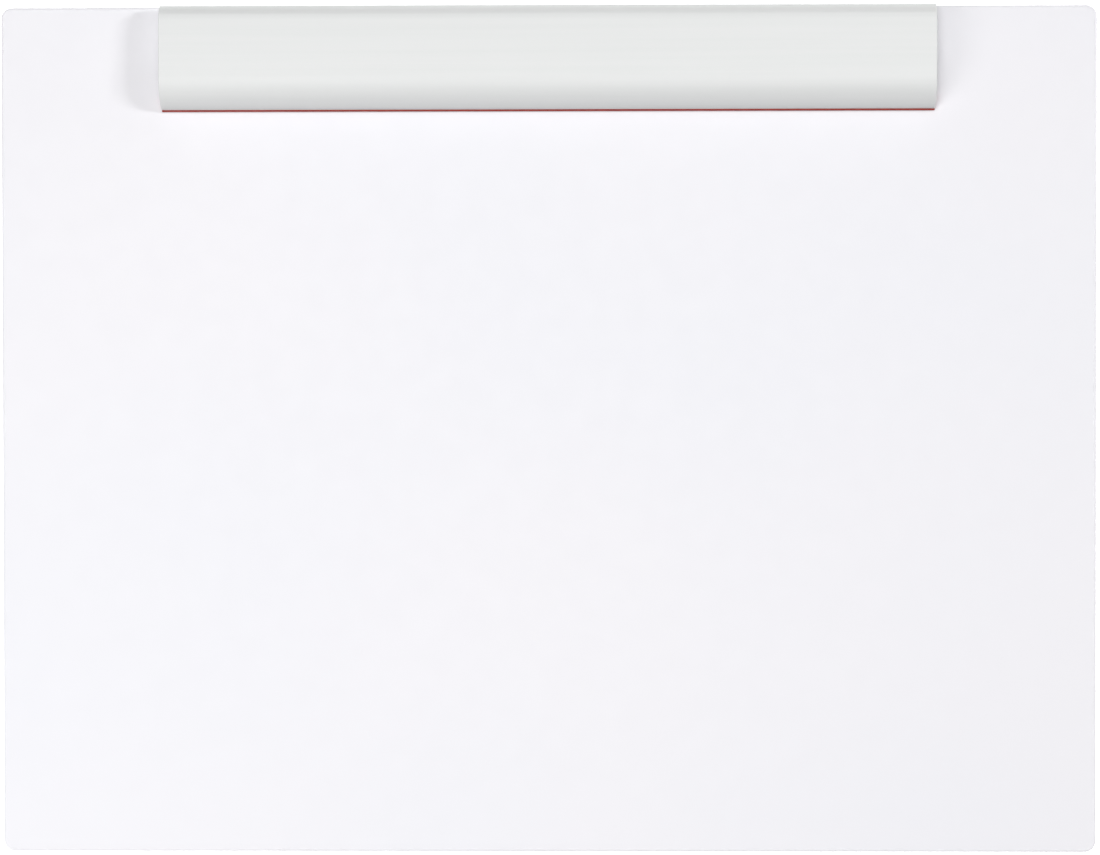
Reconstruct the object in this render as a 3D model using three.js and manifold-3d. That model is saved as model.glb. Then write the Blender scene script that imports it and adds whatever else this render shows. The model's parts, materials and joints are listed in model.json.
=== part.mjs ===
// A portable drawing board for landscape A3 sheets, with a sprung clamp bar along its back edge.
//
// Units are millimetres and +Z is up. The board lies on its four rubber feet: the origin is on the
// table under the middle of the board, X runs along the clamp and +Y points to the clamp's edge.
//
// The clamp is an aluminium section that rocks on a steel rod. Pressing its back edge down lifts the
// red rubber lip off the board, and three torsion springs round the rod push the lip down again.
// The rod turns in the ears of a pressed steel rail, which six tubular rivets hold to the board.

import * as THREE from "three";
import { mergeVertices } from "three/addons/utils/BufferGeometryUtils.js";
import Module from "manifold-3d";

// ---- Driving dimensions -----------------------------------------------------------------------

const BOARD = { width: 440, depth: 340, thickness: 4, cornerRadius: 4.5, edgeRadius: 0.8 };
const FOOT = { radius: 7, height: 2.5, edgeRadius: 1, inset: 25 };
const FACE_GAP = 0.02; // between faces that rest on each other

// Heights and depths of the clamp are measured in its cross-section: u runs forward from the
// board's back edge and v runs up from the drawing surface.
const CLAMP = { length: 310, height: 13.5, lipFront: 42 };
const WALL = 1.8;
const CROWN_RADIUS = 400;
const REAR = { lowest: 6, radius: 6, creaseSlope: 20 };
const ROLL = { radius: 13.5, end: 1.6, front: 41.3 };
const PIVOT = { u: 17.5, v: 6.4 };
const ROD = { radius: 1.5, length: 306, chamfer: 0.4 };
const ROD_CHANNEL = { inner: 1.65, outer: 3.1, mouthHalfAngle: 35, webWidth: 1.8 };
const LIP_BLOCK = { back: 34.2, top: 5.4 };
const LIP_SLOT = { mouthBack: 36.2, mouthFront: 37.8, back: 35.3, front: 38.7, step: 2.6, top: 4.2 };
const LIP_RUBBER = { back: 34.7, contact: 0.05, ribCount: 4, ribDepth: 0.45, noseRadius: 0.6 };

const RAIL = { length: 300, back: 7, front: 28.2, sheet: 1.2, rearHeight: 3.4, stopHeight: 4.6 };
const EAR = { spacing: 14, sheet: 1.2, baseWidth: 8.4, eyeRadius: 3.1, holeRadius: 1.7 };
const EAR_WINDOW = { length: 9, width: 9 };
const STATION_NAMES = ["left", "centre", "right"];
const STATION_PITCH = 110;
const CHANNEL_NOTCH = 20;

const SPRING = { wire: 0.5, coilRadius: 2.45, turns: 4, pitch: 1.15, reach: 8.2, clearance: 0.12 };

const RIVET_POSITIONS = [-140, -80, -30, 30, 80, 140];
const RIVET = { shank: 1.6, hole: 1.75, head: 3.3, headHeight: 1.05, clinch: 2.6, clinchHeight: 0.9 };
const RIVET_BORE = { radius: 0.9, depth: 3 };
const WASHER = { radius: 4.5, thickness: 0.5 };

// ---- Derived places ---------------------------------------------------------------------------

const DEGREE = Math.PI / 180;

// The height of a circle's upper side at a given u.
const heightOnCircle = (centre, radius, u) => centre.v + Math.sqrt(radius ** 2 - (u - centre.u) ** 2);

const BOARD_TOP = FOOT.height + BOARD.thickness;
const ROLL_CENTRE = {
  u: ROLL.front - Math.sqrt(ROLL.radius ** 2 - (ROLL.radius - CLAMP.height + ROLL.end) ** 2),
  v: CLAMP.height - ROLL.radius,
};
const CROWN_CENTRE = { u: ROLL_CENTRE.u, v: CLAMP.height - CROWN_RADIUS };
const CREASE = (90 + REAR.creaseSlope) * DEGREE; // where the rear round meets the crown
const CREASE_U = REAR.radius * (1 + Math.cos(CREASE));
const CREASE_V = heightOnCircle(CROWN_CENTRE, CROWN_RADIUS, CREASE_U);
const REAR_CENTRE = { u: REAR.radius, v: CREASE_V - REAR.radius * Math.sin(CREASE) };
const RIVET_LINE = (RAIL.back + RAIL.front - RAIL.sheet) / 2;
const STATIONS = [STATION_PITCH, 0, -STATION_PITCH]; // along the section's axis, left to right

// The clamp's ceiling, under its crowned top.
const roofAt = (u) => heightOnCircle(CROWN_CENTRE, CROWN_RADIUS - WALL, u);

// ---- Finishes ---------------------------------------------------------------------------------

const finish = (color, roughness, metalness) =>
  new THREE.MeshStandardMaterial({ color, roughness, metalness });

const FINISH = {
  board: finish(0xf1f1f5, 0.45, 0),
  aluminium: finish(0xe9eae9, 0.7, 0.25),
  redRubber: finish(0x90241a, 0.6, 0),
  greyRubber: finish(0x4a4b4d, 0.8, 0),
  zincSteel: finish(0xb9bcbf, 0.35, 1),
  springSteel: finish(0x8e9194, 0.3, 1),
};

// ---- Boolean cuts and joins -------------------------------------------------------------------

const manifold = await Module();
manifold.setup();

function toSolid(geometry) {
  const bare = geometry.clone();
  bare.deleteAttribute("normal");
  bare.deleteAttribute("uv");
  const merged = mergeVertices(bare, 1e-4);
  return new manifold.Manifold(
    new manifold.Mesh({
      numProp: 3,
      vertProperties: merged.attributes.position.array,
      triVerts: new Uint32Array(merged.index.array),
    }),
  );
}

function toGeometry(solid) {
  const mesh = solid.getMesh();
  const geometry = new THREE.BufferGeometry();
  geometry.setAttribute("position", new THREE.BufferAttribute(mesh.vertProperties, 3));
  geometry.setIndex(new THREE.BufferAttribute(mesh.triVerts, 1));
  geometry.computeVertexNormals();
  return geometry;
}

const cut = (body, tools) =>
  toGeometry(tools.reduce((left, tool) => left.subtract(toSolid(tool)), toSolid(body)));

const join = (body, extras) =>
  toGeometry(extras.reduce((whole, extra) => whole.add(toSolid(extra)), toSolid(body)));

// ---- Shared geometry helpers ------------------------------------------------------------------

// A cross-section in (u, v) drawn out along the clamp, centred on its middle.
function drawnOut(shape, length, curveSegments = 8) {
  const options = { depth: length, bevelEnabled: false, curveSegments };
  return new THREE.ExtrudeGeometry(shape, options).translate(0, 0, -length / 2);
}

// A block between two corners of the cross-section, centred at a place along the clamp.
function block(u0, u1, v0, v1, length, along = 0) {
  const box = new THREE.BoxGeometry(u1 - u0, v1 - v0, length);
  return box.translate((u0 + u1) / 2, (v0 + v1) / 2, along);
}

// A piece turned about the z axis, from [radius, z] points that start and end on it or close up.
function turned(points, segments = 20) {
  const profile = points.map(([radius, height]) => new THREE.Vector2(radius, height));
  return new THREE.LatheGeometry(profile, segments).rotateX(Math.PI / 2);
}

// Points of a quarter round in a turned profile, from one angle to another.
function quarterRound(centreRadius, centreHeight, radius, from, to, steps = 3) {
  return Array.from({ length: steps + 1 }, (_, i) => {
    const angle = (from + ((to - from) * i) / steps) * DEGREE;
    return [centreRadius + radius * Math.cos(angle), centreHeight + radius * Math.sin(angle)];
  });
}

function part(name, geometry, material) {
  const mesh = new THREE.Mesh(geometry, material);
  mesh.name = name;
  return mesh;
}

// ---- Board, feet and rivets -------------------------------------------------------------------

function boardGeometry() {
  const { width, depth, thickness, cornerRadius, edgeRadius } = BOARD;
  const x = width / 2 - edgeRadius;
  const y = depth / 2 - edgeRadius;
  const r = cornerRadius - edgeRadius;
  const outline = new THREE.Shape();
  outline.absarc(x - r, y - r, r, 0, Math.PI / 2);
  outline.absarc(r - x, y - r, r, Math.PI / 2, Math.PI);
  outline.absarc(r - x, r - y, r, Math.PI, 1.5 * Math.PI);
  outline.absarc(x - r, r - y, r, 1.5 * Math.PI, 2 * Math.PI);
  const panel = new THREE.ExtrudeGeometry(outline, {
    depth: thickness - 2 * edgeRadius,
    bevelThickness: edgeRadius,
    bevelSize: edgeRadius,
    bevelSegments: 3,
    curveSegments: 4,
  }).translate(0, 0, FOOT.height + edgeRadius);
  const holes = RIVET_POSITIONS.map((along) =>
    new THREE.CylinderGeometry(RIVET.hole, RIVET.hole, 3 * thickness, 14)
      .rotateX(Math.PI / 2)
      .translate(along, depth / 2 - RIVET_LINE, FOOT.height + thickness / 2),
  );
  return cut(panel, holes);
}

function footGeometry() {
  const { radius, height, edgeRadius } = FOOT;
  const top = height - FACE_GAP;
  const flat = radius - edgeRadius;
  return turned([[0, 0], ...quarterRound(flat, edgeRadius, edgeRadius, -90, 0), [radius, top], [0, top]]);
}

// A semi-tubular rivet: a domed head under the washer and a rolled clinch on the rail's floor.
function rivetGeometry() {
  const headTop = FOOT.height - WASHER.thickness - 2 * FACE_GAP;
  const headLow = headTop - RIVET.headHeight;
  const floor = BOARD_TOP + RAIL.sheet + 2 * FACE_GAP;
  const clinchTop = floor + RIVET.clinchHeight;
  const roll = RIVET.clinchHeight / 2;
  return turned(
    [
      [0, headLow],
      [RIVET.head * 0.45, headLow + RIVET.headHeight * 0.08],
      [RIVET.head * 0.8, headLow + RIVET.headHeight * 0.36],
      [RIVET.head, headTop - 0.2],
      [RIVET.head, headTop],
      [RIVET.shank, headTop],
      [RIVET.shank, floor],
      ...quarterRound(RIVET.clinch - roll, floor + roll, roll, -90, 90),
      [RIVET_BORE.radius, clinchTop],
      [RIVET_BORE.radius, clinchTop - RIVET_BORE.depth],
      [0, clinchTop - RIVET_BORE.depth],
    ],
    14,
  );
}

function washerGeometry() {
  const top = FOOT.height - FACE_GAP;
  const low = top - WASHER.thickness;
  return turned(
    [
      [RIVET.hole, low],
      [WASHER.radius, low],
      [WASHER.radius, top],
      [RIVET.hole, top],
      [RIVET.hole, low],
    ],
    14,
  );
}

// ---- Rail -------------------------------------------------------------------------------------

// The pressed rail's channel: its front flange is the stop that the sheet's edge is pushed against.
function railSection() {
  const { back, front, sheet, rearHeight, stopHeight } = RAIL;
  const low = FACE_GAP;
  const inner = 0.4;
  const outer = inner + sheet;
  const shape = new THREE.Shape();
  shape.moveTo(back, rearHeight);
  shape.lineTo(back, low + outer);
  shape.absarc(back + outer, low + outer, outer, Math.PI, 1.5 * Math.PI);
  shape.absarc(front - outer, low + outer, outer, 1.5 * Math.PI, 2 * Math.PI);
  shape.lineTo(front, stopHeight);
  shape.lineTo(front - sheet, stopHeight);
  shape.absarc(front - outer, low + outer, inner, 0, -Math.PI / 2, true);
  shape.absarc(back + outer, low + outer, inner, 1.5 * Math.PI, Math.PI, true);
  shape.lineTo(back + sheet, rearHeight);
  shape.closePath();
  return shape;
}

// An ear in the cross-section: a tab that narrows to the round eye for the rod.
function earSection() {
  const low = FACE_GAP + RAIL.sheet / 2;
  const half = EAR.baseWidth / 2;
  const shape = new THREE.Shape();
  shape.moveTo(PIVOT.u + half, low);
  shape.lineTo(PIVOT.u + half, low + 2);
  shape.absarc(PIVOT.u, PIVOT.v, EAR.eyeRadius, 20 * DEGREE, 160 * DEGREE);
  shape.lineTo(PIVOT.u - half, low + 2);
  shape.lineTo(PIVOT.u - half, low);
  shape.closePath();
  const eye = new THREE.Path();
  eye.absarc(PIVOT.u, PIVOT.v, EAR.holeRadius, 0, 2 * Math.PI);
  shape.holes.push(eye);
  return shape;
}

function railGeometry() {
  const earAt = (along) => drawnOut(earSection(), EAR.sheet).translate(0, 0, along);
  const windowAt = (along) => {
    const half = EAR_WINDOW.width / 2;
    return block(PIVOT.u - half, PIVOT.u + half, -1, 2 * RAIL.sheet, EAR_WINDOW.length, along);
  };
  const holeAt = (along) =>
    new THREE.CylinderGeometry(RIVET.hole, RIVET.hole, 8, 14).translate(RIVET_LINE, 0, along);
  const ears = [];
  const openings = RIVET_POSITIONS.map(holeAt);
  for (const station of STATIONS)
    for (const side of [-1, 1]) {
      ears.push(earAt(station + (side * EAR.spacing) / 2));
      openings.push(windowAt(station + side * (EAR.spacing + EAR.sheet + EAR_WINDOW.length) * 0.5));
    }
  return cut(join(drawnOut(railSection(), RAIL.length, 4), ears), openings);
}

// ---- Clamp bar --------------------------------------------------------------------------------

// The drawn aluminium section: rear round, crowned top, front roll, slotted lip and rod channel.
function coverSection() {
  const innerRoll = ROLL.radius - WALL;
  const rollEnd = Math.asin((ROLL.end - ROLL_CENTRE.v) / ROLL.radius);
  const blockMeets = Math.asin((LIP_BLOCK.top - ROLL_CENTRE.v) / innerRoll);
  const crownStart = Math.atan2(CREASE_V - CROWN_CENTRE.v, CREASE_U - CROWN_CENTRE.u);
  const shape = new THREE.Shape();
  // Outside, from the rear edge over the top and down the front roll.
  const rearRound = WALL / 2;
  shape.absarc(rearRound, REAR.lowest + rearRound, rearRound, 0, Math.PI, true);
  shape.absarc(REAR_CENTRE.u, REAR_CENTRE.v, REAR.radius, Math.PI, CREASE, true);
  shape.absarc(CROWN_CENTRE.u, CROWN_CENTRE.v, CROWN_RADIUS, crownStart, Math.PI / 2, true);
  shape.absarc(ROLL_CENTRE.u, ROLL_CENTRE.v, ROLL.radius, Math.PI / 2, rollEnd, true);
  // The lip's underside, with the undercut slot that the rubber slides into.
  shape.lineTo(LIP_SLOT.mouthFront, ROLL.end);
  shape.lineTo(LIP_SLOT.mouthFront, LIP_SLOT.step);
  shape.lineTo(LIP_SLOT.front, LIP_SLOT.step);
  shape.lineTo(LIP_SLOT.front, LIP_SLOT.top);
  shape.lineTo(LIP_SLOT.back, LIP_SLOT.top);
  shape.lineTo(LIP_SLOT.back, LIP_SLOT.step);
  shape.lineTo(LIP_SLOT.mouthBack, LIP_SLOT.step);
  shape.lineTo(LIP_SLOT.mouthBack, ROLL.end);
  shape.lineTo(LIP_BLOCK.back, ROLL.end);
  shape.lineTo(LIP_BLOCK.back, LIP_BLOCK.top);
  // Inside, back up the roll and along the roof to the rod's channel.
  shape.absarc(ROLL_CENTRE.u, ROLL_CENTRE.v, innerRoll, blockMeets, Math.PI / 2);
  addRodChannel(shape);
  shape.absarc(REAR_CENTRE.u, REAR_CENTRE.v, REAR.radius - WALL, CREASE, Math.PI);
  shape.closePath();
  return shape;
}

function addRodChannel(shape) {
  const { inner, outer, mouthHalfAngle, webWidth } = ROD_CHANNEL;
  const halfWeb = webWidth / 2;
  const webMeets = Math.acos(halfWeb / outer);
  const mouthFront = (mouthHalfAngle - 90) * DEGREE;
  const mouthBack = (270 - mouthHalfAngle) * DEGREE;
  shape.lineTo(PIVOT.u + halfWeb, roofAt(PIVOT.u + halfWeb));
  shape.absarc(PIVOT.u, PIVOT.v, outer, webMeets, mouthFront, true);
  shape.absarc(PIVOT.u, PIVOT.v, inner, mouthFront, mouthBack);
  shape.absarc(PIVOT.u, PIVOT.v, outer, mouthBack, Math.PI - webMeets, true);
  shape.lineTo(PIVOT.u - halfWeb, roofAt(PIVOT.u - halfWeb));
}

// The channel is milled away round each pair of ears, almost up to the roof.
function coverGeometry() {
  const reach = ROD_CHANNEL.outer + 0.6;
  const [back, front] = [PIVOT.u - reach, PIVOT.u + reach];
  const notches = STATIONS.map((along) =>
    block(back, front, PIVOT.v - reach, roofAt(back), CHANNEL_NOTCH, along),
  );
  return cut(drawnOut(coverSection(), CLAMP.length), notches);
}

// The rubber's root fills the slot, and its foot stands forward of the aluminium as a thin red line.
function gripStripGeometry() {
  const { back, contact, ribCount, ribDepth, noseRadius } = LIP_RUBBER;
  const slack = 0.12;
  const foot = ROLL.end - 0.05;
  const front = CLAMP.lipFront;
  const noseV = contact + noseRadius;
  const ribPitch = (front - noseRadius - back) / ribCount;
  const shape = new THREE.Shape();
  shape.moveTo(back, foot);
  for (let i = 0; i < ribCount; i += 1) {
    const start = back + i * ribPitch;
    shape.lineTo(start, contact + ribDepth);
    shape.lineTo(start + 0.3 * ribPitch, contact);
    shape.lineTo(start + 0.75 * ribPitch, contact);
  }
  shape.lineTo(front - noseRadius, contact);
  shape.absarc(front - noseRadius, noseV, noseRadius, -Math.PI / 2, 0);
  shape.lineTo(front, foot - 0.25);
  shape.lineTo(front - 0.25, foot);
  shape.lineTo(LIP_SLOT.mouthFront - slack, foot);
  shape.lineTo(LIP_SLOT.mouthFront - slack, LIP_SLOT.step + slack);
  shape.lineTo(LIP_SLOT.front - slack, LIP_SLOT.step + slack);
  shape.lineTo(LIP_SLOT.front - slack, LIP_SLOT.top - slack);
  shape.lineTo(LIP_SLOT.back + slack, LIP_SLOT.top - slack);
  shape.lineTo(LIP_SLOT.back + slack, LIP_SLOT.step + slack);
  shape.lineTo(LIP_SLOT.mouthBack + slack, LIP_SLOT.step + slack);
  shape.lineTo(LIP_SLOT.mouthBack + slack, foot);
  shape.closePath();
  return drawnOut(shape, CLAMP.length, 4);
}

function rodGeometry() {
  const { radius, length, chamfer } = ROD;
  const half = length / 2;
  return turned(
    [
      [0, -half],
      [radius - chamfer, -half],
      [radius, chamfer - half],
      [radius, half - chamfer],
      [radius - chamfer, half],
      [0, half],
    ],
    24,
  );
}

// ---- Springs ----------------------------------------------------------------------------------

// The angle at which a straight leg from (u, v), seen from the rod, touches the coil.
const touchAngle = (u, v, side) =>
  Math.atan2(v, u) + side * Math.acos(SPRING.coilRadius / Math.hypot(u, v));

// The wire's centreline in (u, v, along): one leg on the rail's floor, the coil round the rod, and
// one leg under the clamp's roof, both behind the rod.
function springPath() {
  const { wire, coilRadius, turns, pitch, reach, clearance } = SPRING;
  const floor = FACE_GAP + RAIL.sheet + wire + clearance - PIVOT.v;
  const roof = roofAt(PIVOT.u - reach) - wire - clearance - PIVOT.v;
  const first = touchAngle(-reach, floor, 1);
  const last = touchAngle(-reach, roof, -1) + 2 * Math.PI * turns;
  const halfLength = (pitch * (last - first)) / (4 * Math.PI);
  const coilPoint = (share) => {
    const angle = first + (last - first) * share;
    const along = halfLength * (1 - 2 * share);
    return new THREE.Vector3(coilRadius * Math.cos(angle), coilRadius * Math.sin(angle), along);
  };
  const lowTip = new THREE.Vector3(-reach, floor, halfLength);
  const highTip = new THREE.Vector3(-reach, roof, -halfLength);
  const legShares = [0, 0.3, 0.6, 0.85];
  const coilSteps = 12 * turns;
  const points = [
    ...legShares.map((share) => lowTip.clone().lerp(coilPoint(0), share)),
    ...Array.from({ length: coilSteps + 1 }, (_, i) => coilPoint(i / coilSteps)),
    ...legShares.map((share) => highTip.clone().lerp(coilPoint(1), share)).toReversed(),
  ];
  const rodCentre = new THREE.Vector3(PIVOT.u, PIVOT.v, 0);
  return new THREE.CatmullRomCurve3(points.map((point) => point.add(rodCentre)));
}

function springGeometry() {
  const section = new THREE.Shape();
  section.absarc(0, 0, SPRING.wire, 0, 2 * Math.PI);
  const steps = 60;
  return new THREE.ExtrudeGeometry(section, { extrudePath: springPath(), steps, curveSegments: 4 });
}

// ---- The assembly -----------------------------------------------------------------------------

const drawingBoard = new THREE.Group();
drawingBoard.add(part("board_panel", boardGeometry(), FINISH.board));

for (const [endName, ySide] of [["front", -1], ["back", 1]])
  for (const [sideName, xSide] of [["left", -1], ["right", 1]]) {
    const foot = part(`foot_${endName}_${sideName}`, footGeometry(), FINISH.greyRubber);
    foot.position.set(xSide * (BOARD.width / 2 - FOOT.inset), ySide * (BOARD.depth / 2 - FOOT.inset), 0);
    drawingBoard.add(foot);
  }

RIVET_POSITIONS.forEach((along, i) => {
  const rivet = part(`rivet_${i + 1}`, rivetGeometry(), FINISH.zincSteel);
  const washer = part(`rivet_washer_${i + 1}`, washerGeometry(), FINISH.zincSteel);
  for (const piece of [rivet, washer]) {
    piece.position.set(along, BOARD.depth / 2 - RIVET_LINE, 0);
    drawingBoard.add(piece);
  }
});

// The clamp's cross-section frame: x is u, y is v, and z runs along the clamp towards -X.
const section = new THREE.Group();
section.position.set(0, BOARD.depth / 2, BOARD_TOP);
section.setRotationFromMatrix(
  new THREE.Matrix4().makeBasis(
    new THREE.Vector3(0, -1, 0),
    new THREE.Vector3(0, 0, 1),
    new THREE.Vector3(-1, 0, 0),
  ),
);
drawingBoard.add(section);

section.add(part("base_rail", railGeometry(), FINISH.zincSteel));
section.add(part("clamp_cover", coverGeometry(), FINISH.aluminium));
section.add(part("grip_strip", gripStripGeometry(), FINISH.redRubber));

const rod = part("hinge_rod", rodGeometry(), FINISH.zincSteel);
rod.position.set(PIVOT.u, PIVOT.v, 0);
section.add(rod);

STATION_NAMES.forEach((name, i) => {
  const spring = part(`torsion_spring_${name}`, springGeometry(), FINISH.springSteel);
  spring.position.z = STATIONS[i];
  section.add(spring);
});

export default drawingBoard;
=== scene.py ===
"""Fine meshes, finishes, light and camera for a portable drawing board, round its CAD frame.

The board lies on its feet, with its sprung clamp along the back edge. Small pieces are drawn in
millimetres, in the clamp's cross-section: u runs forward from the board's back edge, and v runs up
from the drawing surface. Everything that Blender holds is in metres, in the frame's own axes.
"""

import json
import math

import bmesh
import bpy
from mathutils import Matrix, Vector


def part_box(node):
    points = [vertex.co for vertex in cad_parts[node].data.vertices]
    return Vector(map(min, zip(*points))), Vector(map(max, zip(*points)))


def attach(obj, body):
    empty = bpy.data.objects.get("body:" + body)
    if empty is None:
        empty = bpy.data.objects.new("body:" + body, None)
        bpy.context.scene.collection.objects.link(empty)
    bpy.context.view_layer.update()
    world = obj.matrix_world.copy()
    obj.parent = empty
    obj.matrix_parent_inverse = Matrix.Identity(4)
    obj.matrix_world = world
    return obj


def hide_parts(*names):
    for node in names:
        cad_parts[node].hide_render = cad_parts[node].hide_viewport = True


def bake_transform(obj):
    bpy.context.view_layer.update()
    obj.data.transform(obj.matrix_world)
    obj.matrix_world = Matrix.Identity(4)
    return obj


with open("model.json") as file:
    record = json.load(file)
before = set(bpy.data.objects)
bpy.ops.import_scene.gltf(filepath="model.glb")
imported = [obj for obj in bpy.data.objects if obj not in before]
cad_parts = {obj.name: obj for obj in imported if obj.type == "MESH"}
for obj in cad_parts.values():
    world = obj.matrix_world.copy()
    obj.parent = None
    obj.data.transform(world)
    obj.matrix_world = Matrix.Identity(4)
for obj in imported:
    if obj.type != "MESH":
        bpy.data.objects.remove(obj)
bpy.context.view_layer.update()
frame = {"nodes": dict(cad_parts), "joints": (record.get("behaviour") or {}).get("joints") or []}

MM = 0.001

# ---- Places taken from the frame ----------------------------------------------------------------

PANEL_LOW, PANEL_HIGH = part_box("board_panel")
COVER_LOW, COVER_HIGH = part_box("clamp_cover")
STRIP_LOW, STRIP_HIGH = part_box("grip_strip")
RAIL_LOW, RAIL_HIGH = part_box("base_rail")
HINGE = frame["joints"][0]
BACK_EDGE = PANEL_HIGH.y
BOARD_TOP = PANEL_HIGH.z
PIVOT = ((BACK_EDGE - HINGE["pos_m"][1]) / MM, (HINGE["pos_m"][2] - BOARD_TOP) / MM)
STATIONS = {"left": -110, "centre": 0, "right": 110}
FEET = [name for name in frame["nodes"] if name.startswith("foot_")]
RIVETS = [name for name in frame["nodes"] if name.startswith("rivet_") and "washer" not in name]
WASHERS = [name for name in frame["nodes"] if name.startswith("rivet_washer_")]

# ---- Shapes that the frame leaves open, in millimetres ------------------------------------------

FACE_GAP = 0.02  # between faces that rest on each other
PANEL = {"corner": 4.5, "edge": 0.8, "margin": 0.4}
FOOT = {"dish": 0.3, "step": 0.06, "round": 1, "chamfer": (0.25, 0.3)}
DISH_SHARES = {"flat": 0.55, "step": 0.62, "rim": 0.65}  # radii, as shares of the foot's own
RIVET = {"hole": 1.75, "head": 3.3, "rim": 0.2, "shank": 1.6, "clinch": 2.6}
RIVET_BORE = {"radius": 0.9, "lip": 0.35, "wall_end": 3, "tip": 3.4}
WASHER_CHAMFER = 0.1
EDGE_BREAK = {"rail": 0.1, "clamp": 0.18, "strip": 0.08, "rod": 0.4, "cutter": 0.01}
SHARPEST_MITRE = 0.2
WALL = 1.8
CLAMP_HEIGHT = (COVER_HIGH.z - BOARD_TOP) / MM
CROWN_RADIUS = 400
REAR = {"lowest": 6, "radius": 6, "crease": 20}
ROLL_RADIUS = 13.5
CHANNEL = {"inner": 1.65, "outer": 3.1, "mouth": 35, "web": 0.9, "root": 0.35}
NOTCH = {"length": 20, "margin": 0.6}
LIP_END = 1.6
LIP_BLOCK = {"back": 34.2, "top": 5.4, "round": 0.3}
SLOT = {"mouth": (36.2, 37.8), "wide": (35.3, 38.7), "step": 2.6, "top": 4.2}
STRIP = {"slack": 0.12, "nose": 0.6, "round": 0.25, "gap": 0.05}
RIBS = {"count": 4, "depth": 0.45, "shares": (0.45, 0.7)}
RAIL = {"sheet": 1.2, "bend": 0.4, "rear": 3.4, "stop": 4.6}
EAR = {"spacing": 14, "base": 8.4, "shoulder": 2, "eye": 3.1, "hole": 1.7, "window": 9}
EAR_CUTTERS = {"reach": 4, "top": 20, "beyond": 8, "bore": 20, "bore_inset": 5}
SPRING = {"wire": 0.5, "coil": 2.45, "turns": 4, "pitch": 1.15, "reach": 8.2, "clearance": 0.12}


# ---- Mesh helpers -------------------------------------------------------------------------------


def place(along, u, v):
    """The frame's point for a place in the cross-section, with along in millimetres from the middle."""
    return Vector((along * MM, BACK_EDGE - u * MM, BOARD_TOP + v * MM))


def section_of(point):
    """The (u, v) of a point of the frame."""
    return (BACK_EDGE - point.y) / MM, (point.z - BOARD_TOP) / MM


class Outline:
    """A closed outline in (u, v), built run by run from straight lines and arcs."""

    def __init__(self):
        self.points = []

    def line(self, u, v):
        """A straight run to a point, which is left out if the outline is there already."""
        if not self.points or math.dist(self.points[-1], (u, v)) > 1e-4:
            self.points.append((u, v))
        return self

    def arc(self, centre, radius, start, end, step):
        """A run round a centre, between two angles in degrees."""
        steps = max(2, round(abs(end - start) / step))
        for i in range(steps + 1):
            angle = math.radians(start + (end - start) * i / steps)
            self.line(centre[0] + radius * math.cos(angle), centre[1] + radius * math.sin(angle))
        return self

    def inset(self, distance):
        """The outline's points moved inwards, keeping its corners mitred."""
        count = len(self.points)
        loop = [(self.points[i - 1], self.points[i], self.points[(i + 1) % count]) for i in range(count)]
        turning = sum(a[0] * b[1] - b[0] * a[1] for a, b, _ in loop)
        side = 1 if turning > 0 else -1
        moved = []
        for before, here, after in loop:
            normals = [outward(before, here, side), outward(here, after, side)]
            mitre = Vector(normals[0]) + Vector(normals[1])
            mitre *= distance / max(SHARPEST_MITRE, 1 + Vector(normals[0]).dot(normals[1]))
            moved.append((here[0] - mitre.x, here[1] - mitre.y))
        return moved


def outward(a, b, side):
    """The direction out of an outline at its edge from a to b."""
    along = Vector((b[0] - a[0], b[1] - a[1])).normalized()
    return Vector((along.y, -along.x)) * side


def new_object(name, mesh_builder, sharp_angle=30):
    """Turns a finished bmesh into a smoothly shaded object in the scene."""
    mesh = bpy.data.meshes.new(name)
    bmesh.ops.recalc_face_normals(mesh_builder, faces=mesh_builder.faces)
    mesh_builder.to_mesh(mesh)
    mesh_builder.free()
    piece = bpy.data.objects.new(name, mesh)
    bpy.context.scene.collection.objects.link(piece)
    smooth(piece, sharp_angle)
    return piece


def smooth(piece, sharp_angle=30):
    """Shades a piece smoothly, except over edges sharper than that."""
    piece.data.shade_smooth()
    piece.data.set_sharp_from_angle(angle=math.radians(sharp_angle))


def skin(name, loops, closed=False, sharp_angle=30):
    """A closed mesh over a run of loops of points. A loop of one point closes the mesh to a tip."""
    build = bmesh.new()
    rings = [[build.verts.new(point) for point in loop] for loop in loops]
    pairs = list(zip(rings, rings[1:]))
    if closed:
        pairs.append((rings[-1], rings[0]))
    for one, other in pairs:
        count = max(len(one), len(other))
        for i in range(count):
            j = (i + 1) % count
            corners = [one[i % len(one)], one[j % len(one)], other[j % len(other)], other[i % len(other)]]
            build.faces.new(list(dict.fromkeys(corners)))
    if not closed:
        for ring in (rings[0], rings[-1]):
            if len(ring) > 2:
                build.faces.new(ring)
    return new_object(name, build, sharp_angle)


def drawn(name, outline, start, end, edge_break):
    """An outline drawn out along the clamp from start to end, with its end edges broken."""
    inner = outline.inset(edge_break)
    stations = [
        (start, inner),
        (start + edge_break, outline.points),
        (end - edge_break, outline.points),
        (end, inner),
    ]
    loops = [[place(along, u, v) for u, v in points] for along, points in stations]
    return skin(name, loops)


def turned(name, profile, axis, sides=64, closed=False, sharp_angle=35):
    """A piece turned about a vertical axis, from (radius, height above the table) points."""
    loops = []
    for radius, height in profile:
        if radius < 1e-6:
            loops.append([Vector((axis.x, axis.y, height * MM))])
            continue
        angles = [2 * math.pi * i / sides for i in range(sides)]
        ring = [Vector((math.cos(a), math.sin(a), 0)) * radius * MM for a in angles]
        loops.append([Vector((axis.x, axis.y, height * MM)) + spoke for spoke in ring])
    return skin(name, loops, closed, sharp_angle)


def quarter(centre, radius, start, end, steps=8):
    """Points of a round in a turned profile."""
    angles = [math.radians(start + (end - start) * i / steps) for i in range(steps + 1)]
    return [(centre[0] + radius * math.cos(a), centre[1] + radius * math.sin(a)) for a in angles]


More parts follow.
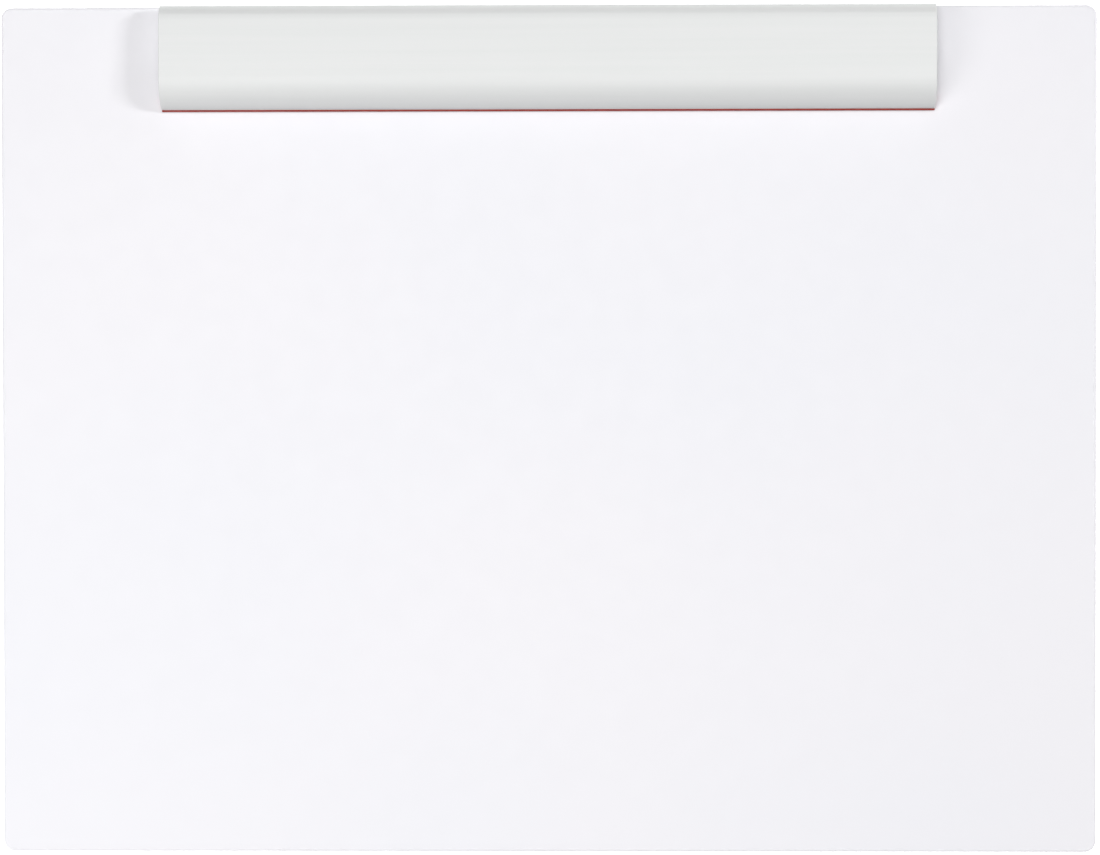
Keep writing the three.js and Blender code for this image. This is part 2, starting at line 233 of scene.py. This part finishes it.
def bake(piece):
    """Turns the piece's modifiers into its mesh."""
    graph = bpy.context.evaluated_depsgraph_get()
    mesh = bpy.data.meshes.new_from_object(piece.evaluated_get(graph))
    piece.modifiers.clear()
    piece.data = mesh
    smooth(piece)
    return piece


def boolean(piece, tools, operation="DIFFERENCE"):
    """Cuts, joins or crosses a piece with its tools, which are then removed."""
    for tool in tools:
        step = piece.modifiers.new("boolean", "BOOLEAN")
        step.operation = operation
        step.solver = "EXACT"
        step.object = tool
    bake(piece)
    for tool in tools:
        bpy.data.objects.remove(tool)
    return piece


def box(low, high):
    """A plain cutting box between two corners."""
    build = bmesh.new()
    bmesh.ops.create_cube(build, size=1)
    size = high - low
    centre = (high + low) / 2
    build.transform(Matrix.Translation(centre) @ Matrix.Diagonal((*map(abs, size), 1)))
    return new_object("cutter", build)


def post(centre, radius, low, high):
    """A plain upright cutting cylinder, with heights above the table."""
    return turned("cutter", [(0, low), (radius, low), (radius, high), (0, high)], centre, 32)


# ---- Board, feet and rivets ---------------------------------------------------------------------


def rounded_rectangle(inset, height):
    """A loop of the panel's outline at one height, moved inwards all round."""
    radius = (PANEL["corner"] - inset) * MM
    reach_x = PANEL_HIGH.x - inset * MM - radius
    reach_y = PANEL_HIGH.y - inset * MM - radius
    steps = 16
    loop = []
    for quadrant, (side_x, side_y) in enumerate([(1, 1), (-1, 1), (-1, -1), (1, -1)]):
        for i in range(steps + 1):
            angle = math.pi / 2 * (quadrant + i / steps)
            x = side_x * reach_x + radius * math.cos(angle)
            y = side_y * reach_y + radius * math.sin(angle)
            loop.append(Vector((x, y, PANEL_LOW.z + height * MM)))
    return loop


def board_panel():
    """A flat panel with rolled edges, drilled for the rivets."""
    edge, margin = PANEL["edge"], PANEL["margin"]
    thickness = (PANEL_HIGH.z - PANEL_LOW.z) / MM
    profile = [(edge + margin, 0)]
    profile += [(edge - r, z) for r, z in quarter((0, edge), edge, -90, 0)]
    profile += [(edge - r, z) for r, z in quarter((0, thickness - edge), edge, 0, 90)]
    profile += [(edge + margin, thickness)]
    panel = skin("board_panel_fine", [rounded_rectangle(inset, z) for inset, z in profile])
    drills = [post(middle(name), RIVET["hole"], 0, BOARD_TOP / MM + 2) for name in RIVETS]
    return boolean(panel, drills)


def middle(node):
    """The middle of a CAD node's box."""
    low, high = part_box(node)
    return (low + high) / 2


def foot(node):
    """A moulded rubber foot with a round edge and a dished underside."""
    low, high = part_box(node)
    radius, top = (high.x - low.x) / 2 / MM, high.z / MM
    corner, (chamfer_in, chamfer_down) = FOOT["round"], FOOT["chamfer"]
    profile = [(0, FOOT["dish"]), (radius * DISH_SHARES["flat"], FOOT["dish"])]
    profile += [(radius * DISH_SHARES["step"], FOOT["step"]), (radius * DISH_SHARES["rim"], 0)]
    profile += quarter((radius - corner, corner), corner, -90, 0)
    profile += [(radius, top - chamfer_down), (radius - chamfer_in, top), (0, top)]
    return turned(node + "_fine", profile, middle(node))


def rivet(node):
    """A semi-tubular rivet: a domed head below, a plain shank, and a rolled clinch above."""
    low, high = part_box(node)
    bottom, top = low.z / MM, high.z / MM
    head, shank = RIVET["head"], RIVET["shank"]
    bore, lip = RIVET_BORE["radius"], RIVET_BORE["lip"]
    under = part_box("rivet_washer_1")[0].z / MM - FACE_GAP
    floor = BOARD_TOP / MM + RAIL["sheet"] + 2 * FACE_GAP
    dome = under - bottom - RIVET["rim"]
    ball = (head**2 + dome**2) / (2 * dome)
    spread = math.degrees(math.asin(head / ball))
    roll = (top - floor) / 2
    profile = quarter((0, bottom + ball), ball, -90, spread - 90)
    profile += [(head, under), (shank, under), (shank, floor)]
    profile += quarter((RIVET["clinch"] - roll, floor + roll), roll, -90, 90)
    profile += quarter((bore + lip, top - lip), lip, 90, 180, 4)
    profile += [(bore, top - RIVET_BORE["wall_end"]), (0, top - RIVET_BORE["tip"])]
    return turned(node + "_fine", profile, middle(node), 48)


def washer(node):
    """A flat washer with its edges broken."""
    low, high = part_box(node)
    outer, inner, chamfer = (high.x - low.x) / 2 / MM, RIVET["hole"], WASHER_CHAMFER
    bottom, top = low.z / MM, high.z / MM
    profile = [
        (inner, bottom + chamfer),
        (inner + chamfer, bottom),
        (outer - chamfer, bottom),
        (outer, bottom + chamfer),
        (outer, top - chamfer),
        (outer - chamfer, top),
        (inner + chamfer, top),
        (inner, top - chamfer),
    ]
    return turned(node + "_fine", profile, middle(node), closed=True, sharp_angle=60)


# ---- Rail ---------------------------------------------------------------------------------------


def rail_outline():
    """The pressed channel: a low rear flange, a flat floor, and the paper stop in front."""
    back, low = section_of(Vector((0, RAIL_HIGH.y, RAIL_LOW.z)))
    front = section_of(RAIL_LOW)[0]
    sheet, bend = RAIL["sheet"], RAIL["bend"]
    outer = bend + sheet
    tip = sheet / 2
    outline = Outline()
    outline.arc((back + tip, RAIL["rear"] - tip), tip, 0, 180, 15)
    outline.arc((back + outer, low + outer), outer, 180, 270, 6)
    outline.arc((front - outer, low + outer), outer, 270, 360, 6)
    outline.arc((front - tip, RAIL["stop"] - tip), tip, 0, 180, 15)
    outline.arc((front - outer, low + outer), bend, 360, 270, 10)
    outline.arc((back + outer, low + outer), bend, 270, 180, 10)
    return outline


def ear_face(station, side):
    """Where the outer face of a station's ear on that side is, along the clamp."""
    return station + side * (EAR["spacing"] + RAIL["sheet"]) / 2


def ear(station, side):
    """An ear bent up out of the rail's floor, with a round eye for the rod."""
    sheet, bend = RAIL["sheet"], RAIL["bend"]
    low = section_of(RAIL_LOW)[1]
    face = ear_face(station, side)
    inner = bend + sheet
    half = EAR["base"] / 2
    shoulder = low + EAR["shoulder"]
    silhouette = Outline()
    silhouette.line(PIVOT[0] + half, low - 1).line(PIVOT[0] + half, shoulder)
    silhouette.arc(PIVOT, EAR["eye"], 20, 160, 5)
    silhouette.line(PIVOT[0] - half, shoulder).line(PIVOT[0] - half, low - 1)
    reach, top, beyond = EAR_CUTTERS["reach"], EAR_CUTTERS["top"], EAR_CUTTERS["beyond"]
    edge = EDGE_BREAK["cutter"]
    plate = drawn("ear", silhouette, *sorted((face, face - side * reach)), edge)
    bent = Outline().line(-reach, low)
    bent.arc((-inner, low + inner), inner, -90, 0, 6).line(0, top).line(-sheet, top)
    bent.arc((-inner, low + inner), bend, 0, -90, 10).line(-reach, low + sheet)
    loops = []
    for u in (PIVOT[0] - beyond, PIVOT[0] + beyond):
        loops.append([place(face + side * offset, u, v) for offset, v in bent.points])
    boolean(plate, [skin("cutter", loops)], "INTERSECT")
    eye = Outline().arc(PIVOT, EAR["hole"], 0, 350, 10)
    bore_start = face - side * EAR_CUTTERS["bore_inset"] - EAR_CUTTERS["bore_inset"]
    return boolean(plate, [drawn("cutter", eye, bore_start, bore_start + EAR_CUTTERS["bore"], edge)])


def base_rail():
    """The whole pressing: channel, windows, three pairs of ears, and rivet holes."""
    start, end = RAIL_LOW.x / MM, RAIL_HIGH.x / MM
    rail = drawn("base_rail_fine", rail_outline(), start, end, EDGE_BREAK["rail"])
    window, sheet = EAR["window"], RAIL["sheet"]
    below, above = BOARD_TOP / MM - 1, BOARD_TOP / MM + 4
    openings = [post(middle(name), RIVET["hole"], below, above) for name in RIVETS]
    ears = []
    for station in STATIONS.values():
        for side in (-1, 1):
            face = ear_face(station, side)
            inner_edge = face - side * (RAIL["bend"] + sheet)
            outer_edge = face + side * window
            low = place(min(inner_edge, outer_edge), PIVOT[0] + window / 2, -0.5)
            high = place(max(inner_edge, outer_edge), PIVOT[0] - window / 2, 2 * sheet)
            openings.append(box(low, high))
            ears.append(ear(station, side))
    boolean(rail, openings)
    return boolean(rail, ears, "UNION")


# ---- Clamp --------------------------------------------------------------------------------------


def height_on_circle(centre, radius, u):
    """The height of a circle's upper side at u."""
    return centre[1] + math.sqrt(radius**2 - (u - centre[0]) ** 2)


def roll_centre():
    """The middle of the front roll, which ends at the lip's most forward point."""
    v = CLAMP_HEIGHT - ROLL_RADIUS
    return section_of(COVER_LOW)[0] - math.sqrt(ROLL_RADIUS**2 - (LIP_END - v) ** 2), v


def crown_centre():
    """The middle of the top's shallow crown, which meets the roll smoothly."""
    return roll_centre()[0], CLAMP_HEIGHT - CROWN_RADIUS


def roof_at(u):
    """The height of the clamp's ceiling."""
    return height_on_circle(crown_centre(), CROWN_RADIUS - WALL, u)


def cover_outline():
    """The drawn section: rear round, crowned top, front roll, slotted lip, and the rod's channel."""
    roll, crown = roll_centre(), crown_centre()
    inner_roll = ROLL_RADIUS - WALL
    roll_end = math.degrees(math.asin((LIP_END - roll[1]) / ROLL_RADIUS))
    block_meets = math.degrees(math.asin((LIP_BLOCK["top"] - roll[1]) / inner_roll))
    rear_round = WALL / 2
    crease_angle = 90 + REAR["crease"]
    crease_u = REAR["radius"] * (1 + math.cos(math.radians(crease_angle)))
    crease_v = height_on_circle(crown, CROWN_RADIUS, crease_u)
    rear = (REAR["radius"], crease_v - REAR["radius"] * math.sin(math.radians(crease_angle)))
    crown_start = math.degrees(math.atan2(crease_v - crown[1], crease_u - crown[0]))
    outline = Outline()
    outline.arc((rear_round, REAR["lowest"] + rear_round), rear_round, 0, -180, 10)
    outline.arc(rear, REAR["radius"], 180, crease_angle, 3)
    outline.arc(crown, CROWN_RADIUS, crown_start, 90, 0.4)
    outline.arc(roll, ROLL_RADIUS, 90, roll_end, 1.5)
    outline.line(SLOT["mouth"][1], LIP_END)
    slot_outline(outline, SLOT["mouth"], SLOT["wide"], SLOT["step"], SLOT["top"])
    outline.line(SLOT["mouth"][0], LIP_END)
    corner = LIP_BLOCK["round"]
    outline.arc((LIP_BLOCK["back"] + corner, LIP_END + corner), corner, 270, 180, 15)
    outline.arc((LIP_BLOCK["back"] + corner, LIP_BLOCK["top"] - corner), corner, 180, 90, 15)
    outline.arc(roll, inner_roll, block_meets, 90, 2)
    channel_outline(outline)
    outline.arc(rear, REAR["radius"] - WALL, crease_angle, 180, 5)
    return outline


def slot_outline(outline, mouth, wide, step, top):
    """The T-shaped slot in the lip's underside, from its front to its back."""
    outline.line(mouth[1], step).line(wide[1], step).line(wide[1], top)
    outline.line(wide[0], top).line(wide[0], step).line(mouth[0], step)


def channel_outline(outline):
    """The web and the open channel that grips the rod, with small rounds where the web starts."""
    web, root = CHANNEL["web"], CHANNEL["root"]
    front, back = PIVOT[0] + web + root, PIVOT[0] - web - root
    start = math.degrees(math.acos(web / CHANNEL["outer"]))
    mouth = CHANNEL["mouth"]
    outline.arc((front, roof_at(front) - root), root, 90, 180, 15)
    outline.arc(PIVOT, CHANNEL["outer"], start, mouth - 90, 5)
    outline.arc(PIVOT, CHANNEL["inner"], mouth - 90, 270 - mouth, 6)
    outline.arc(PIVOT, CHANNEL["outer"], 270 - mouth, 180 - start, 5)
    outline.arc((back, roof_at(back) - root), root, 0, 90, 15)


def clamp_cover():
    """The aluminium bar, with the rod's channel milled away at each pair of ears."""
    start, end = COVER_LOW.x / MM, COVER_HIGH.x / MM
    bar = drawn("clamp_cover_fine", cover_outline(), start, end, EDGE_BREAK["clamp"])
    reach = CHANNEL["outer"] + NOTCH["margin"]
    half = NOTCH["length"] / 2
    notches = []
    for station in STATIONS.values():
        low = place(station - half, PIVOT[0] + reach, PIVOT[1] - reach)
        high = place(station + half, PIVOT[0] - reach, roof_at(PIVOT[0] - reach))
        notches.append(box(low, high))
    return boolean(bar, notches)


def strip_outline():
    """The rubber's section: a T-shaped root, a ribbed sole, and a round nose in front."""
    front, low = section_of(STRIP_LOW)
    back = section_of(STRIP_HIGH)[0]
    foot_top = LIP_END - STRIP["gap"]
    slack, nose, corner = STRIP["slack"], STRIP["nose"], STRIP["round"]
    pitch = (front - nose - back) / RIBS["count"]
    rib_starts, rib_ends = RIBS["shares"]
    outline = Outline().line(back, foot_top)
    for i in range(RIBS["count"]):
        start = back + i * pitch
        outline.line(start, low + RIBS["depth"])
        outline.arc((start + rib_starts * pitch, low + corner), corner, 225, 270, 15)
        outline.arc((start + rib_ends * pitch, low + corner), corner, 270, 315, 15)
    outline.arc((front - nose, low + nose), nose, -90, 0, 9)
    outline.arc((front - corner, foot_top - corner), corner, 0, 90, 15)
    mouth = (SLOT["mouth"][0] + slack, SLOT["mouth"][1] - slack)
    wide = (SLOT["wide"][0] + slack, SLOT["wide"][1] - slack)
    outline.line(mouth[1], foot_top)
    slot_outline(outline, mouth, wide, SLOT["step"] + slack, SLOT["top"] - slack)
    outline.line(mouth[0], foot_top)
    return outline


def grip_strip():
    """The red rubber, along the whole lip."""
    start, end = STRIP_LOW.x / MM, STRIP_HIGH.x / MM
    return drawn("grip_strip_fine", strip_outline(), start, end, EDGE_BREAK["strip"])


def hinge_rod():
    """A ground rod with chamfered ends."""
    low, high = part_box("hinge_rod")
    outline = Outline().arc(PIVOT, (high.z - low.z) / 2 / MM, 0, 354, 6)
    return drawn("hinge_rod_fine", outline, low.x / MM, high.x / MM, EDGE_BREAK["rod"])


# ---- Springs ------------------------------------------------------------------------------------


def spring_path(station):
    """The wire's centreline, from its leg on the rail's floor, round the coil, to its leg under the
    clamp's roof, and half the coil's length in millimetres.
    """
    coil, reach = SPRING["coil"], SPRING["reach"]
    standoff = SPRING["wire"] + SPRING["clearance"]
    floor = section_of(RAIL_LOW)[1] + RAIL["sheet"] + standoff - PIVOT[1]
    roof = roof_at(PIVOT[0] - reach) - standoff - PIVOT[1]
    first = touch_angle(-reach, floor, 1)
    last = touch_angle(-reach, roof, -1) + 2 * math.pi * SPRING["turns"]
    half = SPRING["pitch"] * (last - first) / (4 * math.pi)
    points = [(-reach, floor, -half)]
    steps = 24 * SPRING["turns"]
    for i in range(steps + 1):
        angle = first + (last - first) * i / steps
        points.append((coil * math.cos(angle), coil * math.sin(angle), half * (2 * i / steps - 1)))
    points.append((-reach, roof, half))
    return [place(station + x, PIVOT[0] + u, PIVOT[1] + v) for u, v, x in points], half


def touch_angle(u, v, side):
    """The angle at which a straight leg from (u, v), seen from the rod, touches the coil."""
    return math.atan2(v, u) + side * math.acos(SPRING["coil"] / math.hypot(u, v))


def wire_sweep(name, path, radius):
    """A round wire along a path, carried without twisting, with its cut ends chamfered."""
    sides, chamfer_share = 16, 0.25
    runs = [(b - a).normalized() for a, b in zip(path, path[1:])]
    between = [(a + b).normalized() for a, b in zip(runs, runs[1:])]
    tangents = [runs[0], *between, runs[-1]]
    normal = tangents[0].orthogonal().normalized()
    angles = [2 * math.pi * i / sides for i in range(sides)]
    loops = []
    for point, tangent in zip(path, tangents):
        normal = (normal - tangent * normal.dot(tangent)).normalized()
        other = tangent.cross(normal)
        loops.append([point + (normal * math.cos(a) + other * math.sin(a)) * radius for a in angles])
    caps = [[path[end].lerp(point, 1 - chamfer_share) for point in loops[end]] for end in (0, -1)]
    for end, inward in ((0, tangents[0]), (-1, -tangents[-1])):
        loops[end] = [point + inward * radius * chamfer_share for point in loops[end]]
    return skin(name, [caps[0], *loops, caps[1]])


def torsion_spring(side):
    """A torsion spring between a pair of ears, with its legs on the rail's floor and under the clamp's
    roof.
    """
    node = f"torsion_spring_{side}"
    station = STATIONS[side]
    path, half = spring_path(station)
    wire = SPRING["wire"]
    spring = wire_sweep(node + "_fine", path, wire * MM)
    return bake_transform(spring)


# ---- Finishes -----------------------------------------------------------------------------------


class Finish:
    """A Principled material with small helpers for its procedural detail."""

    TONE_SPAN = (0.35, 0.65)
    GLOSS_SPAN = (0.3, 0.7)

    def __init__(self, name, base, roughness, metallic=0):
        self.material = bpy.data.materials.new(name)
        self.material.use_nodes = True
        self.nodes = self.material.node_tree.nodes
        self.link = self.material.node_tree.links.new
        self.shader = self.nodes["Principled BSDF"]
        self.shader.inputs["Base Color"].default_value = (*base, 1)
        self.shader.inputs["Roughness"].default_value = roughness
        self.shader.inputs["Metallic"].default_value = metallic
        self.place = self.nodes.new("ShaderNodeTexCoord").outputs["Object"]
        self.normal = None

    def noise(self, size_mm, stretch=(1, 1, 1), detail=3):
        """Noise with features of about that size, drawn out along an axis by its stretch."""
        mapping = self.nodes.new("ShaderNodeMapping")
        mapping.inputs["Scale"].default_value = [1 / (size_mm * MM * s) for s in stretch]
        self.link(self.place, mapping.inputs["Vector"])
        texture = self.nodes.new("ShaderNodeTexNoise")
        texture.inputs["Scale"].default_value = 1
        texture.inputs["Detail"].default_value = detail
        self.link(mapping.outputs["Vector"], texture.inputs["Vector"])
        return texture.outputs["Fac"]

    def colour(self, factor, low, high):
        """Varies the base colour between two tones."""
        ramp = self.nodes.new("ShaderNodeValToRGB")
        for element, position, tone in zip(ramp.color_ramp.elements, self.TONE_SPAN, (low, high)):
            element.position = position
            element.color = (*tone, 1)
        self.link(factor, ramp.inputs["Fac"])
        self.link(ramp.outputs["Color"], self.shader.inputs["Base Color"])

    def roughness(self, factor, low, high):
        """Varies the roughness between two values."""
        scale = self.nodes.new("ShaderNodeMapRange")
        scale.inputs["From Min"].default_value = self.GLOSS_SPAN[0]
        scale.inputs["From Max"].default_value = self.GLOSS_SPAN[1]
        scale.inputs["To Min"].default_value = low
        scale.inputs["To Max"].default_value = high
        self.link(factor, scale.inputs["Value"])
        self.link(scale.outputs["Result"], self.shader.inputs["Roughness"])

    def bump(self, height, depth_mm):
        """Adds relief of that depth on top of what is there."""
        node = self.nodes.new("ShaderNodeBump")
        node.inputs["Strength"].default_value = 1
        node.inputs["Distance"].default_value = depth_mm * MM
        self.link(height, node.inputs["Height"])
        if self.normal:
            self.link(self.normal, node.inputs["Normal"])
        self.normal = node.outputs["Normal"]
        self.link(self.normal, self.shader.inputs["Normal"])


def white_board():
    """Smooth satin white plastic with a faint cool cast and a very fine moulded grain."""
    finish = Finish("white_board", (0.87, 0.865, 0.905), 0.42)
    finish.colour(finish.noise(180, detail=1), (0.865, 0.865, 0.905), (0.88, 0.87, 0.905))
    finish.roughness(finish.noise(9), 0.4, 0.44)
    finish.bump(finish.noise(0.35, detail=2), 0.004)
    return finish.material


def anodised_aluminium():
    """Matte anodised aluminium: its oxide layer scatters most of the light, over faint drawing lines."""
    finish = Finish("anodised_aluminium", (0.83, 0.84, 0.835), 0.7, metallic=0.25)
    lines = finish.noise(0.25, stretch=(500, 1, 1), detail=4)
    finish.colour(finish.noise(2.5, stretch=(60, 1, 1)), (0.822, 0.834, 0.828), (0.834, 0.842, 0.838))
    finish.roughness(lines, 0.65, 0.75)
    finish.bump(lines, 0.0025)
    finish.bump(finish.noise(0.12, detail=2), 0.001)
    return finish.material


def red_rubber():
    """Matte red rubber with a slight bloom."""
    finish = Finish("red_rubber", (0.28, 0.018, 0.01), 0.6)
    finish.colour(finish.noise(1.8), (0.26, 0.015, 0.008), (0.31, 0.023, 0.013))
    finish.roughness(finish.noise(0.8), 0.5, 0.68)
    finish.bump(finish.noise(0.15, stretch=(6, 1, 1)), 0.01)
    return finish.material


def foot_rubber():
    """Dark moulded rubber with a fine matte grain."""
    finish = Finish("foot_rubber", (0.06, 0.06, 0.065), 0.75)
    finish.colour(finish.noise(1.5), (0.05, 0.05, 0.055), (0.075, 0.075, 0.08))
    finish.roughness(finish.noise(0.6), 0.65, 0.85)
    finish.bump(finish.noise(0.2), 0.02)
    return finish.material


def plated_steel():
    """Bright zinc plating, slightly uneven in tone and gloss."""
    finish = Finish("plated_steel", (0.62, 0.63, 0.64), 0.3, metallic=1)
    finish.colour(finish.noise(6), (0.58, 0.6, 0.62), (0.67, 0.67, 0.66))
    finish.roughness(finish.noise(2.2), 0.22, 0.38)
    finish.bump(finish.noise(0.4), 0.004)
    return finish.material


def spring_wire():
    """Drawn spring wire, darker than the plating, with a light oil sheen."""
    finish = Finish("spring_wire", (0.38, 0.38, 0.39), 0.28, metallic=1)
    finish.colour(finish.noise(1.2), (0.34, 0.335, 0.34), (0.43, 0.43, 0.44))
    finish.roughness(finish.noise(0.5), 0.2, 0.36)
    finish.bump(finish.noise(0.15), 0.003)
    return finish.material


FINISHES = {
    make.__name__: make()
    for make in (white_board, anodised_aluminium, red_rubber, foot_rubber, plated_steel, spring_wire)
}


# ---- The pieces, on their bodies ----------------------------------------------------------------


def show(piece, node, slot, body=None):
    """The piece stands for its CAD node, in its finish, and rides on its body when it is given one."""
    piece.data.materials.clear()
    piece.data.materials.append(FINISHES[slot])
    if body:
        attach(piece, body)
    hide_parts(node)


show(board_panel(), "board_panel", "white_board", "board")
for foot_node in FEET:
    show(foot(foot_node), foot_node, "foot_rubber", "board")
for rivet_node in RIVETS:
    show(rivet(rivet_node), rivet_node, "plated_steel", "board")
for washer_node in WASHERS:
    show(washer(washer_node), washer_node, "plated_steel", "board")
show(base_rail(), "base_rail", "plated_steel", "board")
show(clamp_cover(), "clamp_cover", "anodised_aluminium", "clamp")
show(grip_strip(), "grip_strip", "red_rubber", "clamp")
show(hinge_rod(), "hinge_rod", "plated_steel", "clamp")
for spring_side in STATIONS:
    show(torsion_spring(spring_side), f"torsion_spring_{spring_side}", "spring_wire")


# ---- Studio -------------------------------------------------------------------------------------


FLOOR = {"half_width": 6, "tone": 0.9, "roughness": 0.9, "glow": 0.6}
SKY_STRENGTH = 0.09
# Each light's place in metres, its width and height, and its power in watts.
LIGHTS = {
    "overhead": ((-0.35, 0.3, 4.6), (2.5, 2.5), 109),
    "key": ((1.9, 0.53, 1.6), (0.12, 0.6), 21),
    "fill": ((-0.9, -0.6, 1), (0.9, 0.9), 7.6),
}
# The camera's lens and sensor in millimetres, its place above the board's top, and its tilts.
CAMERA = {"lens": 122.1, "sensor": 36, "place": (0.0283, 0.0324, 1.5), "tilt": (-1.2, 1.05, -0.073)}
CLIP_START = 0.05


def studio_floor():
    """A plain pale table top that glows a little, so that it reads as white."""
    build = bmesh.new()
    bmesh.ops.create_grid(build, x_segments=1, y_segments=1, size=FLOOR["half_width"])
    floor = new_object("floor", build)
    finish = Finish("floor_white", (FLOOR["tone"],) * 3, FLOOR["roughness"])
    finish.shader.inputs["Specular IOR Level"].default_value = 0
    finish.shader.inputs["Emission Color"].default_value = (1, 1, 1, 1)
    finish.shader.inputs["Emission Strength"].default_value = FLOOR["glow"]
    floor.data.materials.append(finish.material)


def soft_light(name, location, size, power):
    """A rectangular white light that faces the middle of the board."""
    light = bpy.data.lights.new(name, "AREA")
    light.shape = "RECTANGLE"
    light.size, light.size_y = size
    light.energy = power
    lamp = bpy.data.objects.new(name, light)
    bpy.context.scene.collection.objects.link(lamp)
    lamp.location = location
    lamp.rotation_euler = (-Vector(location)).to_track_quat("-Z", "Y").to_euler()


def studio_sky():
    """The same faint white from every side."""
    world = bpy.data.worlds.new("sky")
    world.use_nodes = True
    background = world.node_tree.nodes["Background"]
    background.inputs["Color"].default_value = (1, 1, 1, 1)
    background.inputs["Strength"].default_value = SKY_STRENGTH
    bpy.context.scene.world = world


def camera():
    """Straight above the board, a little off its middle, with small tilts, as a copy stand leaves it."""
    lens = bpy.data.cameras.new("camera")
    lens.sensor_fit = "HORIZONTAL"
    lens.sensor_width = CAMERA["sensor"]
    lens.lens = CAMERA["lens"]
    lens.clip_start = CLIP_START
    view = bpy.data.objects.new("camera", lens)
    bpy.context.scene.collection.objects.link(view)
    view.location = Vector(CAMERA["place"]) + Vector((0, 0, BOARD_TOP))
    view.rotation_euler = [math.radians(angle) for angle in CAMERA["tilt"]]
    bpy.context.scene.camera = view


studio_floor()
studio_sky()
for light_name, (light_place, light_size, light_power) in LIGHTS.items():
    soft_light(light_name, light_place, light_size, light_power)
camera()
bpy.context.scene.view_settings.view_transform = "Standard"
